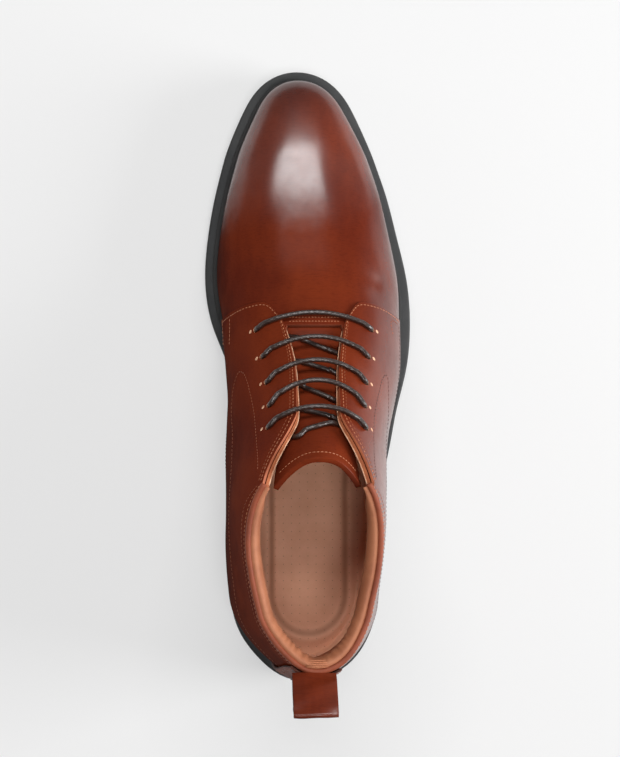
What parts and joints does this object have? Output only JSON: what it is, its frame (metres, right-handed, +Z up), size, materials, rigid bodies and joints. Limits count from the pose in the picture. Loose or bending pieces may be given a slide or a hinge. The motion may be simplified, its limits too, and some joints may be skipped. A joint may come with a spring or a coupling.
{
  "type": "chukka boot",
  "caption": "Ankle-high right-foot leather boot with open lacing over a tongue, hollow inside, on a rubber sole with a low heel.",
  "frame": {"origin": "on the floor under the centre of the heel", "axes": "+Y towards the toe, +X towards the outer side of the foot, +Z up"},
  "size_m": [0.1058, 0.3098, 0.1497],
  "materials": {
    "rubber": "matt dark charcoal rubber",
    "welt": "matt near-black strip",
    "leather": "burnished cognac, darker at the toe and along the edges, waxed",
    "tongue": "smooth orange-brown leather",
    "footbed": "matt tan lining leather with pinprick holes",
    "lace": "waxed dark brown round braid"
  },
  "bodies": {
    "root": {"outsole": "rubber", "heel": "rubber", "welt": "welt", "insole": "footbed", "upper": "leather", "quarter_medial": "leather", "quarter_lateral": "leather", "backstay": "leather", "tongue": "tongue", "pull_loop": "leather", "lace_bar_1": "lace", "lace_bar_2": "lace", "lace_bar_3": "lace", "lace_bar_4": "lace", "lace_bar_5": "lace", "lace_cross_1": "lace", "lace_cross_2": "lace", "lace_cross_3": "lace", "lace_cross_4": "lace"}
  },
  "joints": []
}
